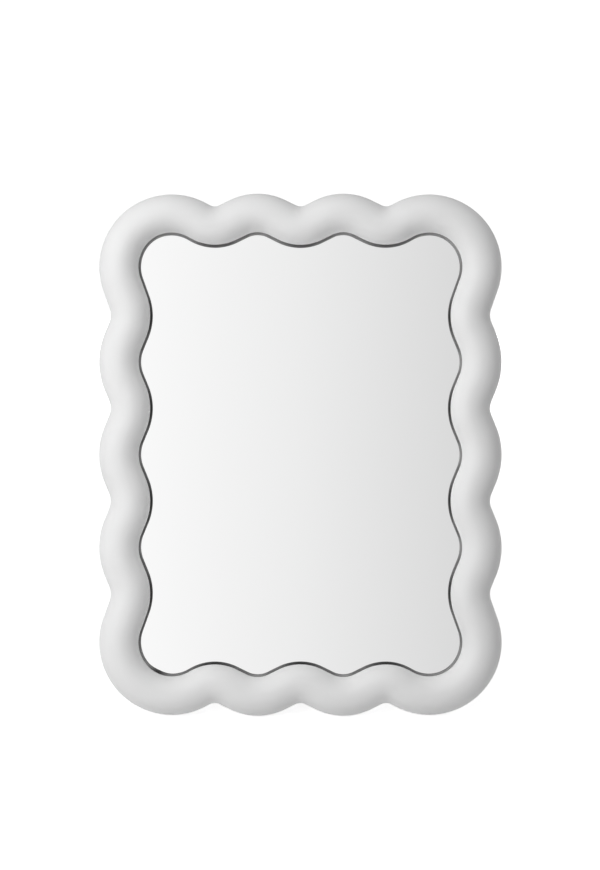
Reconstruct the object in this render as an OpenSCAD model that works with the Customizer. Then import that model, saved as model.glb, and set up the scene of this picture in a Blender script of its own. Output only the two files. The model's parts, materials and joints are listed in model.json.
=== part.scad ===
// Standing makeup mirror: a round moulded tube runs in waves round a rectangular glass.
// Everything is drawn in the plane of the mirror's face, with x to the right, y up the face
// and z out of the face, 0 at the flat back of the tube. stand() then leans it back.

/* [Frame] */
// Overall width of the frame
frame_w = 300; // [292:1:340]
// Overall height of the frame
frame_h = 389; // [375:1:430]
// Thickness of the round tube
tube_w = 31; // [29:0.5:32]
// Height of the tube's middle above its flat back
tube_rise = 12; // [11:0.5:13]
// Reach of the tube's inner half, on the glass's side of its middle
inner_w = 14.1; // [13.5:0.1:14.5]
// Radius of the corner lobes, to the middle of the tube
corner_r = 38.7; // [35:0.1:38.9]
// How far the corner lobes stay below the crests along the top and bottom
corner_drop = 0.6; // [0:0.1:1]
// Shortest wave that the tube follows
least_pitch = 62; // [61:0.5:63]
// Height of a wave along the top and bottom
rise_top = 9.4; // [8:0.1:10]
// Height of a wave along the sides
rise_side = 8.6; // [7:0.1:9.5]
// Straight run between a corner lobe and the first wave of a side
side_end = 1.3; // [0.5:0.1:2]
// How round the waves are, where 1 leaves no straight between two bends
roundness = 0.94; // [0.9:0.01:0.97]
// Share of each wave that the crest's bend takes
crest_share = 0.58; // [0.54:0.01:0.6]

/* [Glass and back] */
// How far the glass reaches behind the tube at the crests
glass_lap = 4.5; // [3.5:0.1:5]
// Radius of the glass's corners
glass_r = 8; // [5:0.5:10]
// Thickness of the glass
glass_t = 3; // [2:0.5:4]
// Play round the glass in its rebate
glass_play = 0.8; // [0.5:0.1:1]
// Width of the seal that shows between the tube and the glass
seal_w = 1.5; // [1:0.1:2]
// Height of the seal over the glass
seal_h = 2.6; // [1.5:0.1:3]
// Thickness of the foam sheet behind the glass
cushion_t = 1; // [0.5:0.5:1.5]
// How far the foam sheet stays inside the glass's edge
cushion_inset = 4; // [2:0.5:6]
// Thickness of the back board
board_t = 3; // [2.5:0.5:3.5]

/* [Stance] */
// Angle that the mirror leans back
lean = 15; // [12:1:16]
// Angle that the strut opens to
open_angle = 24; // [22:1:26]
// Height of the strut's hinge above the middle of the face
hinge_y = 40; // [30:1:45]

/* [Strut] */
// Thickness of the strut
strut_t = 4; // [3.5:0.5:4.5]
// Width of the strut at its hinge
strut_top_w = 42; // [40:1:46]
// Width of the strut at its feet
strut_foot_w = 76; // [70:1:84]
// Length of the strut's straight part under the hinge
strut_neck = 36; // [34:1:60]
// Width of each rubber foot
foot_w = 20; // [16:1:24]
// Height of a rubber foot's channel
foot_h = 14; // [12:1:18]
// Rubber under the strut's end
foot_sole = 4; // [3:0.5:6]
// Thickness of a rubber foot's walls
foot_wall = 1.5; // [1:0.1:1.6]
// Gap between the folded strut and the board
fold_gap = 0.5; // [0.4:0.1:0.7]

/* [Hinge] */
// Radius of the hinge pin
pin_r = 1.25; // [1:0.05:1.3]
// Wall of the rolled knuckles
knuckle_wall = 1.25; // [1:0.05:1.3]
// Length of the rolled knuckles together
knuckles_w = 36; // [32:1:38]
// Width of the middle knuckle
knuckle_mid_w = 15; // [12:1:17]
// Thickness of the hinge leaves
leaf_t = 1; // [0.8:0.1:1.1]
// Length of a hinge leaf from its pin
leaf_len = 30; // [29:1:33]
// Radius of a leaf's corners
leaf_r = 4; // [2:0.5:5]
// Distance from the pin to the nearer row of rivets
rivet_near = 12; // [11:0.5:13]
// Distance from the pin to the farther row of rivets
rivet_far = 24; // [22:0.5:25]
// Sideways distance of the rivets from the middle
rivet_x = 13; // [11:0.5:15]
// Radius of the rivets
rivet_r = 1.6; // [1.4:0.1:1.8]
// Radius of the rivets' heads
rivet_head_r = 3; // [2.6:0.1:3.4]
// Height of a rivet's domed head
rivet_head_h = 1; // [0.8:0.1:1.2]
// Depth of a rivet's flush head
rivet_flush_h = 0.8; // [0.6:0.1:1]

/* [Turn buttons] */
// Width of a turn button
button_w = 12; // [10:0.5:12]
// Length of a turn button from its screw to its tip
button_len = 22; // [20:0.5:24]
// Thickness of a turn button
button_t = 1.2; // [1:0.1:1.6]
// Height of the boss round its screw
boss_h = 0.6; // [0.4:0.1:1]

/* [Screws] */
// Radius of the screws
screw_r = 1.5; // [1.3:0.1:1.7]
// Radius of the screws' heads
screw_head_r = 3.2; // [3:0.1:3.5]
// Height of the screws' heads
screw_head_h = 1.9; // [1.6:0.1:2.2]
// Depth of the screws in the frame
screw_depth = 9; // [7:0.5:10]

/* [Hangers] */
// Width of a hanger strap
strap_w = 14; // [12:0.5:15]
// Length of a hanger strap below its ring
strap_len = 24; // [23:0.5:26]
// Thickness of a hanger strap
strap_t = 1.2; // [1:0.1:1.4]
// Distance from the ring's bar to the strap's screw
strap_screw = 16; // [15.5:0.5:17]
// Radius of the ring's bend, to the middle of its wire
ring_r = 9.5; // [9:0.1:10]
// Radius of the ring's wire
wire_r = 1; // [0.8:0.1:1.1]
// Height of the rubber wall bumpers
bumper_h = 8; // [7.5:0.5:10]
// Radius of a wall bumper where it sits on the frame
bumper_r = 4.8; // [4:0.1:5]
// Radius of a wall bumper's face
bumper_face_r = 4.2; // [3.5:0.1:4.8]

/* [Fits] */
// Running clearance of pins, rings and screws in their holes
fit = 0.05; // [0.03:0.01:0.08]
// Gap under a turn button and at the strut's stop
slip = 0.15; // [0.1:0.05:0.25]
// Side gap between knuckles
side_gap = 0.3; // [0.2:0.05:0.4]

/* [Hidden] */
$fn = 64;
tiny = 0.01;
// Widest turn from one section of the tube to the next
arc_step = 10;
// Steps round the tube's own section
tube_step = 15;

half_tube = tube_w/2;
level_x = frame_w/2 - half_tube;
level_y = frame_h/2 - half_tube;
corner_x = level_x - corner_r;
corner_y = level_y - corner_r - corner_drop;
waves_top = floor(2*corner_x/least_pitch);
waves_side = floor(2*(corner_y - side_end)/least_pitch);
side_pitch = 2*(corner_y - side_end)/waves_side;
land = sqrt(half_tube*half_tube - tube_rise*tube_rise);

glass_w = 2*(level_x - half_tube + glass_lap);
glass_h = 2*(level_y - half_tube + glass_lap);
rebate_w = glass_w + 2*glass_play;
rebate_h = glass_h + 2*glass_play;
rebate_r = glass_r + glass_play;
board_z = board_t;
cushion_z = board_z + cushion_t;
glass_z = cushion_z + glass_t;

// Middle of the flat back beside the board, at a side's crest and along the top
land_x = (rebate_w/2 + level_x + land)/2;
land_y = (rebate_h/2 + level_y - corner_drop + land)/2;

knuckle_r = pin_r + fit + knuckle_wall;
pin_z = -knuckle_r - fit;
strut_front = pin_z + fold_gap;
strut_back = strut_front + strut_t;
leaf_clear = knuckle_r + 0.8;
lip = (-pin_z - leaf_t - slip + strut_back*cos(open_angle))/sin(open_angle);

// Height and depth of a point of the face once the mirror leans back
function up(y, z) = y*cos(lean) + z*sin(lean);
function back(y, z) = y*sin(lean) - z*cos(lean);
ground = up(-level_y, tube_rise) - half_tube;
swing = open_angle - lean;
strut_len = (up(hinge_y, pin_z) - ground)/cos(swing);
foot_top = strut_len - foot_h;
foot_back = strut_back + foot_wall;
strut_end = strut_len - foot_sole;

bumper_near = norm([rebate_w/2 - rebate_r + rebate_r*cos(45) - corner_x,
                    rebate_h/2 - rebate_r + rebate_r*sin(45) - corner_y]);
bumper_out = (bumper_near + corner_r + land)/2;
bumper_x = corner_x + bumper_out*cos(45);
bumper_y = corner_y + bumper_out*sin(45);

bar_r = wire_r + 0.1;
loop_r = bar_r + fit + strap_t;
loop_z = -loop_r - fit;
hanger_y = side_pitch*(waves_side/2 - 1) + strap_len/2;
side_button_y = -(waves_side % 2)*side_pitch/2;

// The whole mirror stands with the middle of its floor outline at the origin
front_y = back(-level_y, tube_rise) - half_tube;
foot_y = back(hinge_y, pin_z) + strut_len*sin(swing) + foot_back/cos(swing);
rear_y = max(foot_y, back(bumper_y + bumper_face_r, -bumper_h));

BUTTONS = [
  ["turn_button_top_left", -corner_x, land_y, -90],
  ["turn_button_top_right", corner_x, land_y, -90],
  ["turn_button_side_left", -land_x, side_button_y, 0],
  ["turn_button_side_right", land_x, side_button_y, 180],
  ["turn_button_bottom_left", -corner_x, -land_y, 90],
  ["turn_button_bottom_right", corner_x, -land_y, 90],
];
BUMPERS = [
  ["wall_bumper_top_left", -1, 1],
  ["wall_bumper_top_right", 1, 1],
  ["wall_bumper_bottom_left", -1, -1],
  ["wall_bumper_bottom_right", 1, -1],
];
SIDES = [["left", -1], ["right", 1]];

// Leans the face back and sets the mirror on the ground
module stand() {
  translate([0, -(front_y + rear_y)/2, -ground])
    rotate([90 - lean, 0, 0]) children();
}

// Puts what is drawn folded against the back, from the pin, into the open strut's place
module on_strut() {
  stand() translate([0, hinge_y, pin_z]) rotate([open_angle, 0, 0]) children();
}

// Wave line: bends listed clockwise as [centre, radius, sense], with sense 1 for a valley
function reach(half, rise) = (half*half + rise*rise)/(2*rise);
function bends(n, len, level, rise, end, drop) =
  let (pitch = (len - 2*end)/n,
       total = roundness*reach(pitch/2, rise),
       crest = total*crest_share,
       valley = total - crest,
       last = min(valley, reach(pitch/2 + end, rise - drop) - corner_r))
  [for (k = [0:n - 1]) each
    let (r = (k == 0 || k == n - 1) ? last : valley, x = -len/2 + end + (k + 0.5)*pitch)
    concat([[[x, level - rise + r], r, 1]],
           k < n - 1 ? [[[x + pitch/2, level - crest], crest, -1]] : [])];
function turned(p, a) = [p[0]*cos(a) - p[1]*sin(a), p[0]*sin(a) + p[1]*cos(a)];
function side(corner, a, run) =
  concat([[corner, corner_r, -1]], [for (c = run) [turned(c[0], a), c[1], c[2]]]);
top_run = bends(waves_top, 2*corner_x, level_y, rise_top, 0, corner_drop);
side_run = bends(waves_side, 2*corner_y, level_x, rise_side, side_end, 0);
line = concat(
  side([-corner_x, corner_y], 0, top_run),
  side([corner_x, corner_y], -90, side_run),
  side([corner_x, -corner_y], 180, top_run),
  side([-corner_x, -corner_y], 90, side_run));

// Direction of the straight that leaves bend i and touches the next one
function heading(i) =
  let (a = line[i % len(line)], b = line[(i + 1) % len(line)], d = b[0] - a[0])
  atan2(d[1], d[0]) + a[2]*asin(min(1, (a[1] + b[1])/norm(d)));

// Sections of the tube as [place, heading], with one at the middle of every bend
stations = [for (i = [0:len(line) - 1]) each
  let (c = line[i],
       from = heading(i + len(line) - 1),
       sweep = ((c[2]*(heading(i) - from)) % 360 + 360) % 360,
       steps = 2*ceil(sweep/2/arc_step))
  [for (k = [0:steps])
    let (h = from + c[2]*sweep*k/steps)
    [c[0] - c[2]*c[1]*[-sin(h), cos(h)], h]]];

// Tube's section from the inside, over the crown, to the outside and across the flat back
flank = 20;
section = concat(
  [[-land, 0]],
  [for (a = [180 + flank, each [180:-tube_step:-45]])
    [(a > 90 ? inner_w : half_tube)*cos(a), tube_rise + half_tube*sin(a)]],
  [[land, 0]]);

// Place at height z on the tube's inner side, below its middle
function inner(z) = -inner_w*(1 - (tube_rise - z)/half_tube/sin(flank)*(1 - cos(flank)));
seal_edge = -inner_w - seal_w;
seal_section = [
  [inner(glass_z) - fit, glass_z], [seal_edge, glass_z], [seal_edge, glass_z + 0.35*seal_h],
  [seal_edge + 0.3*seal_w, glass_z + 0.8*seal_h], [inner(glass_z + seal_h) - fit, glass_z + seal_h]];

// Carries a section along the wave line
module swept(section) {
  n = len(stations);
  m = len(section);
  points = [for (s = stations) each
    [for (p = section) [s[0][0] - sin(s[1])*p[0], s[0][1] + cos(s[1])*p[0], p[1]]]];
  faces = [for (i = [0:n - 1], j = [0:m - 1])
    [i*m + j, i*m + (j + 1) % m, ((i + 1) % n)*m + (j + 1) % m, ((i + 1) % n)*m + j]];
  polyhedron(points, faces, convexity = 8);
}

// Rectangle with rounded corners, in the middle of the face
module rounded(w, h, r) {
  square([w - 2*r, h], center = true);
  square([w, h - 2*r], center = true);
  for (x = [-1, 1], y = [-1, 1]) translate([x*(w/2 - r), y*(h/2 - r)]) circle(r);
}

module plate(w, h, r, z, t) {
  translate([0, 0, z]) linear_extrude(t) rounded(w, h, r);
}

// Hole or shank along z from low to high
module rod(x, y, low, high, r) {
  translate([x, y, low]) cylinder(h = high - low, r = r);
}

module frame() {
  color("whitesmoke") stand() difference() {
    swept(section);
    plate(rebate_w, rebate_h, rebate_r, -1, glass_z + 1);
    for (b = BUTTONS) rod(b[1], b[2], -1, screw_depth + 1, screw_r + fit);
    for (s = SIDES) rod(s[1]*land_x, hanger_y - strap_screw, -1, screw_depth + 1, screw_r + fit);
  }
}

module glass_seal() {
  color("dimgray") stand() swept(seal_section);
}

module mirror_glass() {
  color("silver") stand() plate(glass_w, glass_h, glass_r, cushion_z, glass_t);
}

module glass_cushion() {
  color("dimgray") stand()
    plate(glass_w - 2*cushion_inset, glass_h - 2*cushion_inset, glass_r - cushion_inset/2, board_z, cushion_t);
}

module rivet_places() {
  for (x = [-rivet_x, rivet_x], d = [rivet_near, rivet_far]) translate([x, d]) children();
}

module back_board() {
  color("darkslategray") stand() difference() {
    plate(glass_w, glass_h, glass_r, 0, board_t);
    translate([0, hinge_y]) rivet_places() {
      rod(0, 0, -1, board_t + 1, rivet_r + fit);
      rod(0, 0, board_t - rivet_flush_h - fit, board_t + 1, rivet_head_r + fit);
    }
  }
}

// Rivet through a sheet of thickness t, with its flush head at z 0 and its dome on a leaf
module rivet(t) {
  rod(0, 0, -rivet_flush_h, 0, rivet_head_r);
  rod(0, 0, -t - leaf_t - tiny, 0, rivet_r);
  translate([0, 0, -t - leaf_t]) rotate([180, 0, 0])
    cylinder(h = rivet_head_h, r1 = rivet_head_r, r2 = rivet_head_r*0.6);
}

// Part of a leaf beyond the knuckles, from d to the leaf's end
module leaf_plate(z) {
  difference() {
    translate([0, 0, z]) linear_extrude(leaf_t) difference() {
      union() {
        translate([-strut_top_w/2 + 1, leaf_clear])
          square([strut_top_w - 2, leaf_len - leaf_clear - leaf_r]);
        translate([-strut_top_w/2 + 1 + leaf_r, leaf_len - leaf_r - tiny])
          square([strut_top_w - 2 - 2*leaf_r, leaf_r + tiny]);
        for (x = [-1, 1]) translate([x*(strut_top_w/2 - 1 - leaf_r), leaf_len - leaf_r]) circle(leaf_r);
      }
    }
    rivet_places() rod(0, 0, z - 1, z + leaf_t + 1, rivet_r + fit);
  }
}

// Barrel along x from low to high
module barrel(low, high, r) {
  translate([low, 0, 0]) rotate([0, 90, 0]) cylinder(h = high - low, r = r);
}

module hinge_leaf_upper() {
  inner = knuckle_mid_w/2 + side_gap;
  outer = knuckles_w/2;
  color("silver") stand() translate([0, hinge_y, 0]) difference() {
    union() {
      leaf_plate(-leaf_t);
      for (s = [-1, 1]) {
        x = s > 0 ? inner : -outer;
        translate([x, 0, -leaf_t]) cube([outer - inner, leaf_clear + 1, leaf_t]);
        translate([0, 0, pin_z]) barrel(x, x + outer - inner, knuckle_r);
      }
    }
    translate([0, 0, pin_z]) barrel(-outer - 1, outer + 1, pin_r + fit);
  }
}

module board_rivets() {
  color("silver") stand() translate([0, hinge_y, board_t]) rivet_places() rivet(board_t);
}

module hinge_pin() {
  half = knuckles_w/2 + fit;
  head = 0.8;
  color("gray") stand() translate([0, hinge_y, pin_z]) {
    barrel(-half - head, half + head, pin_r);
    for (x = [-half - head, half]) barrel(x, x + head, pin_r + knuckle_wall/2);
  }
}

module hinge_leaf_lower() {
  half = knuckle_mid_w/2;
  color("silver") on_strut() difference() {
    union() {
      translate([0, 0, -strut_back - leaf_t]) {
        mirror([0, 1, 0]) leaf_plate(0);
        translate([-half, -leaf_clear - 1, 0]) cube([2*half, leaf_clear + 1 + lip, leaf_t]);
      }
      barrel(-half, half, knuckle_r);
    }
    barrel(-half - 1, half + 1, pin_r + fit);
  }
}

module strut_rivets() {
  color("silver") on_strut() translate([0, 0, -strut_front]) mirror([0, 1, 0]) rivet_places() rivet(strut_t);
}

// Strut's outline folded down from its pin: a straight neck, then legs that spread to the feet
module strut_outline() {
  top = leaf_clear - 0.4;
  arch_r = strut_foot_w/2 - foot_w;
  difference() {
    polygon([
      [-strut_top_w/2 + leaf_r, -top], [strut_top_w/2 - leaf_r, -top],
      [strut_top_w/2, -top - leaf_r], [strut_top_w/2, -strut_neck],
      [strut_foot_w/2, -foot_top + foot_h], [strut_foot_w/2, -strut_end],
      [-strut_foot_w/2, -strut_end], [-strut_foot_w/2, -foot_top + foot_h],
      [-strut_top_w/2, -strut_neck], [-strut_top_w/2, -top - leaf_r],
    ]);
    translate([0, -foot_top + arch_r*0.4]) circle(arch_r);
    translate([-arch_r, -strut_end - 1]) square([2*arch_r, strut_end + 1 - foot_top + arch_r*0.4]);
  }
}

module strut() {
  color("darkslategray") on_strut() difference() {
    translate([0, 0, -strut_back]) linear_extrude(strut_t) strut_outline();
    translate([-strut_foot_w, -strut_len, -strut_front - foot_wall])
      cube([2*strut_foot_w, strut_len - foot_top + fit, foot_wall + 1]);
    mirror([0, 1, 0]) rivet_places() {
      rod(0, 0, -strut_back - 1, -strut_front + 1, rivet_r + fit);
      rod(0, 0, -strut_front - rivet_flush_h - fit, -strut_front + 1, rivet_head_r + fit);
    }
  }
}

// Rubber foot: a channel over the leg's end, with a sole that lies flat on the ground
module strut_foot(s) {
  middle = s*(strut_foot_w - foot_w)/2;
  color("dimgray") on_strut() translate([middle - foot_w/2, 0, 0]) rotate([90, 0, 90])
    linear_extrude(foot_w) difference() {
      polygon([
        [-foot_top, -strut_front], [-foot_top, -foot_back],
        [-strut_len - foot_back*tan(swing), -foot_back],
        [-strut_len - strut_front*tan(swing), -strut_front],
      ]);
      translate([-strut_end - fit, -strut_back - fit])
        square([strut_end - foot_top + fit + 1, strut_t - foot_wall + 2*fit]);
    }
}

// Turn button drawn from its screw along +x, then turned by a
module turn_button(b) {
  color("silver") stand() translate([b[1], b[2], -slip - button_t]) rotate([0, 0, b[3]]) difference() {
    union() {
      linear_extrude(button_t) {
        circle(button_w/2);
        translate([0, -button_w/2]) square([button_len - button_w/2, button_w]);
        translate([button_len - button_w/2, 0]) circle(button_w/2);
      }
      rod(0, 0, -boss_h, tiny, screw_head_r + 0.6);
    }
    rod(0, 0, -boss_h - 1, button_t + 1, screw_r + fit);
  }
}

// Screw whose head rests at z and whose shank runs up into the frame
module screw(x, y, z) {
  rod(x, y, z, screw_depth, screw_r);
  translate([x, y, z + tiny]) rotate([180, 0, 0])
    cylinder(h = screw_head_h, r1 = screw_head_r, r2 = screw_head_r*0.7);
}

module button_screws() {
  color("silver") stand() for (b = BUTTONS) screw(b[1], b[2], -slip - button_t - boss_h - fit);
}

module hanger_strap(s) {
  color("silver") stand() translate([s*land_x, hanger_y, 0]) difference() {
    union() {
      translate([0, 0, -strap_t]) linear_extrude(strap_t) {
        translate([-strap_w/2, -strap_len + strap_w/2]) square([strap_w, strap_len - strap_w/2]);
        translate([0, -strap_len + strap_w/2]) circle(strap_w/2);
      }
      translate([0, 0, loop_z]) barrel(-strap_w/2, strap_w/2, loop_r);
    }
    translate([0, 0, loop_z]) barrel(-strap_w/2 - 1, strap_w/2 + 1, bar_r + fit);
    rod(0, -strap_screw, -strap_t - 1, 1, screw_r + fit);
  }
}

// Ring that hangs straight down from its bar
module hanger_ring(s) {
  color("silver") stand() translate([s*land_x, hanger_y, loop_z]) rotate([lean, 0, 0]) {
    barrel(-ring_r - wire_r, ring_r + wire_r, bar_r);
    rotate([0, 0, 180]) rotate_extrude(angle = 180) translate([ring_r, 0]) circle(wire_r);
  }
}

module hanger_screws() {
  color("silver") stand() for (s = SIDES) screw(s[1]*land_x, hanger_y - strap_screw, -strap_t - fit);
}

module wall_bumper(b) {
  color("gainsboro") stand() translate([b[1]*bumper_x, b[2]*bumper_y, 0]) rotate([180, 0, 0])
    cylinder(h = bumper_h, r1 = bumper_r, r2 = bumper_face_r);
}

frame();
glass_seal();
mirror_glass();
glass_cushion();
back_board();
hinge_leaf_upper();
board_rivets();
hinge_pin();
hinge_leaf_lower();
strut_rivets();
strut();
for (s = SIDES) strut_foot(s[1]);
for (b = BUTTONS) turn_button(b);
button_screws();
for (s = SIDES) hanger_strap(s[1]);
for (s = SIDES) hanger_ring(s[1]);
hanger_screws();
for (b = BUMPERS) wall_bumper(b);
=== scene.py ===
"""Looks of the standing makeup mirror: a white wavy tubular frame round a plain glass.

The face of the mirror leans back. Shapes are worked out in the plane of the face, in millimetres,
with x to the right, y up the face and z out of it from the flat back of the tube. Face.world()
carries them to the row frame in metres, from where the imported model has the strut's hinge. The
sizes repeat those of the part's source. Fields are in millimetres and radians unless they say
otherwise. A finish gives its noise scales in cells per metre and its depths in metres.
"""

import json
import logging
import math
from dataclasses import dataclass, field
from enum import Enum

import bmesh
import bpy
import numpy as np
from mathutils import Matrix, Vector


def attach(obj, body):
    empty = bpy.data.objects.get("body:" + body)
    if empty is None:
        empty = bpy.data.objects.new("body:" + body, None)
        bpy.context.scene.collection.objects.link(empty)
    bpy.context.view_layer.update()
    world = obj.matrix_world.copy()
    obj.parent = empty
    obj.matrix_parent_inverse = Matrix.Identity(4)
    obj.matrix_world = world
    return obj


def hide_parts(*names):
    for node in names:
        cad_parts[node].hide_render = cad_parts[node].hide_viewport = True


Pair = tuple[float, float]
Triple = tuple[float, float, float]
Piece = bpy.types.Object
Material = bpy.types.Material
Socket = bpy.types.NodeSocket

LOG = logging.getLogger("makeup_mirror")
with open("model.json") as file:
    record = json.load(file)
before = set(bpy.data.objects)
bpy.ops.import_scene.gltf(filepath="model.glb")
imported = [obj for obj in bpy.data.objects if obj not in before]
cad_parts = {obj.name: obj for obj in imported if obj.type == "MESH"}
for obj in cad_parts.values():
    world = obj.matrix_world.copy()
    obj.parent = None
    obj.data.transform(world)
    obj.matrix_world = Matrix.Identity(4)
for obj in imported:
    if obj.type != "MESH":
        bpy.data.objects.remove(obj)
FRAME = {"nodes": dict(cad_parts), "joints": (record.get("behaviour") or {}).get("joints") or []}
MM = 0.001
WHITE = (1.0, 1.0, 1.0)
# Points nearer to each other than this, in metres, are one: in a new mesh, and in a CAD node's copy.
MERGE_NEW = 1e-7
MERGE_CAD = 2e-6
# In a CAD node's copy, edges that turn less than the first are flat, and those that turn more than
# the second are rounded.
FLAT_ANGLE = math.radians(1.0)
ROUND_ANGLE = math.radians(30.0)
# The sockets of a Mix node that carry colours.
MIX_FIRST, MIX_SECOND, MIX_RESULT = 6, 7, 2


class Side(Enum):
    """Left and right as someone sees them who faces the glass."""

    LEFT = -1
    RIGHT = 1

    @property
    def word(self) -> str:
        """The side in the names of nodes and pieces."""
        return self.name.lower()


@dataclass(frozen=True)
class Face:
    """A leaning plane: that of the mirror's face, or of the strut.

    The hinge pin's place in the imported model, and its known place on the plane, fix it.
    """

    pin_world: Triple  # in metres
    lean: float = math.radians(15.0)
    pin_y: float = 40.0  # how far up the plane the pin lies
    pin_z: float = -2.6  # how far out of it

    def axes(self) -> np.ndarray:
        """Rows are the plane's x, y and z directions in the row frame."""
        s, c = math.sin(self.lean), math.cos(self.lean)
        return np.array([[1.0, 0.0, 0.0], [0.0, s, c], [0.0, -c, s]])

    def world(self, points: np.ndarray) -> np.ndarray:
        """Carries points to the row frame: the pin's place plus the offset along each axis.

        Args:
            points: array whose last axis holds x, y, z in millimetres.

        Returns:
            The same array in metres, in the row frame.
        """
        offset = (np.asarray(points, float) - np.array([0.0, self.pin_y, self.pin_z])) * MM
        return offset @ self.axes() + np.array(self.pin_world)

    def normal(self) -> Vector:
        """Direction out of the plane, for the mirror's face towards the viewer."""
        return Vector(self.axes()[2])


@dataclass(frozen=True)
class WaveLine:
    """Middle line of the tube: tangent arcs for corner lobes, crests and valleys."""

    width: float = 300.0
    height: float = 389.0
    tube: float = 31.0  # its diameter
    corner_r: float = 38.7  # radius round a corner lobe
    corner_drop: float = 0.6  # how far the lobes stay below the top's crests
    least_pitch: float = 62.0  # the shortest wave
    rise_top: float = 9.4  # height of a wave
    rise_side: float = 8.6
    side_end: float = 1.3  # straight between a side's waves and a lobe
    roundness: float = 0.94  # share of the largest radii; straights take the rest
    crest_share: float = 0.58  # a crest's share of a crest's and a valley's radii

    @property
    def level(self) -> Pair:
        """Distance of the crests' middle line from the middle of the face, sideways and up."""
        return (self.width - self.tube) / 2, (self.height - self.tube) / 2

    @property
    def corner(self) -> Pair:
        """Centre of the top right corner lobe."""
        return self.level[0] - self.corner_r, self.level[1] - self.corner_r - self.corner_drop

    @staticmethod
    def reach(half: float, rise: float) -> float:
        """Sum of the two radii of arcs that meet without a straight: (half^2 + rise^2) / (2 rise)."""
        return (half * half + rise * rise) / (2.0 * rise)

    def run(self, length: float, level: float, rise: float, end: float, drop: float) -> np.ndarray:
        """Bends of one side between two corner lobes, valleys and crests in turn.

        Args:
            length: distance between the corner lobes' centres.
            level: distance of the crests' middle line from the face's middle.
            rise: height of a wave.
            end: straight run next to a lobe.
            drop: how far the lobes stay below the crests.

        Returns:
            Rows of x, y, radius and sense, where sense is 1 for a valley and -1 for a crest.
        """
        count = math.floor((length - 2 * end) / self.least_pitch)
        pitch = (length - 2 * end) / count
        total = self.roundness * self.reach(pitch / 2, rise)
        crest = total * self.crest_share
        last = min(total - crest, self.reach(pitch / 2 + end, rise - drop) - self.corner_r)
        index = np.arange(2 * count - 1)
        valley = index % 2 == 0
        radius = np.where(valley, total - crest, crest)
        radius[[0, -1]] = last
        x = -length / 2 + end + (index + 1) * pitch / 2
        y = np.where(valley, level - rise + radius, level - crest)
        return np.stack([x, y, radius, np.where(valley, 1.0, -1.0)], axis=1)

    def bends(self) -> np.ndarray:
        """All bends clockwise from the top left corner lobe: each side is one run turned a quarter.

        Returns:
            Rows of x, y, radius and sense.
        """
        (level_x, level_y), (cx, cy) = self.level, self.corner
        top = self.run(2 * cx, level_y, self.rise_top, 0.0, self.corner_drop)
        side = self.run(2 * cy, level_x, self.rise_side, self.side_end, 0.0)
        quarters = (
            ((-cx, cy), 0, top),
            ((cx, cy), -90, side),
            ((cx, -cy), 180, top),
            ((-cx, -cy), 90, side),
        )
        parts = []
        for corner, angle, run in quarters:
            s, c = math.sin(math.radians(angle)), math.cos(math.radians(angle))
            turned = run.copy()
            turned[:, :2] = run[:, :2] @ np.array([[c, s], [-s, c]])
            parts += [np.array([[*corner, self.corner_r, -1.0]]), turned]
        return np.concatenate(parts)

    def stations(self, step: float) -> tuple[np.ndarray, np.ndarray, np.ndarray]:
        """Places along the line, with the direction out of the ring and the bulge at each.

        Bend i turns from the heading of the straight before it to that of the straight after it. A
        straight's heading is the direction between two centres plus sense times the arc sine of the
        radii's sum over the centres' distance. The bulge is the sine of the share of the bend that is
        run through, above zero where the line bends towards the glass.

        Args:
            step: widest turn between two places, in radians.

        Returns:
            An n by 2 array of places, n unit vectors out of the ring, and n bulges from -1 to 1.
        """
        bends = self.bends()
        centre, radius, sense = bends[:, :2], bends[:, 2], bends[:, 3]
        after = np.roll(bends, -1, axis=0)
        gap = after[:, :2] - centre
        ratio = np.minimum(1.0, (radius + after[:, 2]) / np.linalg.norm(gap, axis=1))
        heading = np.arctan2(gap[:, 1], gap[:, 0]) + sense * np.arcsin(ratio)
        start = np.roll(heading, 1)
        sweep = np.mod(sense * (heading - start), 2 * np.pi)
        steps = 2 * np.ceil(sweep / 2 / step).astype(int)
        which = np.repeat(np.arange(len(bends)), steps + 1)
        first = np.repeat(np.cumsum(steps + 1) - steps - 1, steps + 1)
        share = (np.arange(len(which)) - first) / steps[which]
        angle = start[which] + sense[which] * sweep[which] * share
        normal = np.stack([-np.sin(angle), np.cos(angle)], axis=1)
        bulge = sense[which] * np.sin(np.pi * share)
        return centre[which] - (sense * radius)[which, None] * normal, normal, bulge


def rounded_rectangle_distance(
    points: np.ndarray, width: float, height: float, radius: float
) -> np.ndarray:
    """Signed distance to a rounded rectangle.

    With q as far as a point lies beyond the box of the corners' centres, the distance is the length
    of q's positive part, plus the larger of q's two values where both are negative, less the radius.

    Args:
        points: array of x, y.
        width: full width.
        height: full height.
        radius: corner radius.

    Returns:
        Distances, negative inside.
    """
    q = np.abs(points) - np.array([width / 2 - radius, height / 2 - radius])
    outside = np.linalg.norm(np.maximum(q, 0.0), axis=-1)
    return outside + np.minimum(q.max(axis=-1), 0.0) - radius


def rounded_rings(
    width: float, height: float, radius: float, inset: np.ndarray, steps: int
) -> np.ndarray:
    """Outlines of a rounded rectangle: a corner's centre plus its spoke times radius less inset.

    Args:
        width: full width.
        height: full height.
        radius: corner radius.
        inset: how far each outline lies inside the full one.
        steps: places on each corner.

    Returns:
        An n by m by 2 array of x, y, with one row for each inset.
    """
    quarter = np.linspace(0.0, np.pi / 2, steps)
    angle = np.concatenate([quarter + k * np.pi / 2 for k in range(4)])
    sign = np.repeat(np.array([[1, 1], [-1, 1], [-1, -1], [1, -1]]), steps, axis=0)
    centre = sign * np.array([width / 2 - radius, height / 2 - radius])
    spoke = np.stack([np.cos(angle), np.sin(angle)], axis=1)
    return centre[None] + spoke[None] * (radius - inset)[:, None, None]


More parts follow.
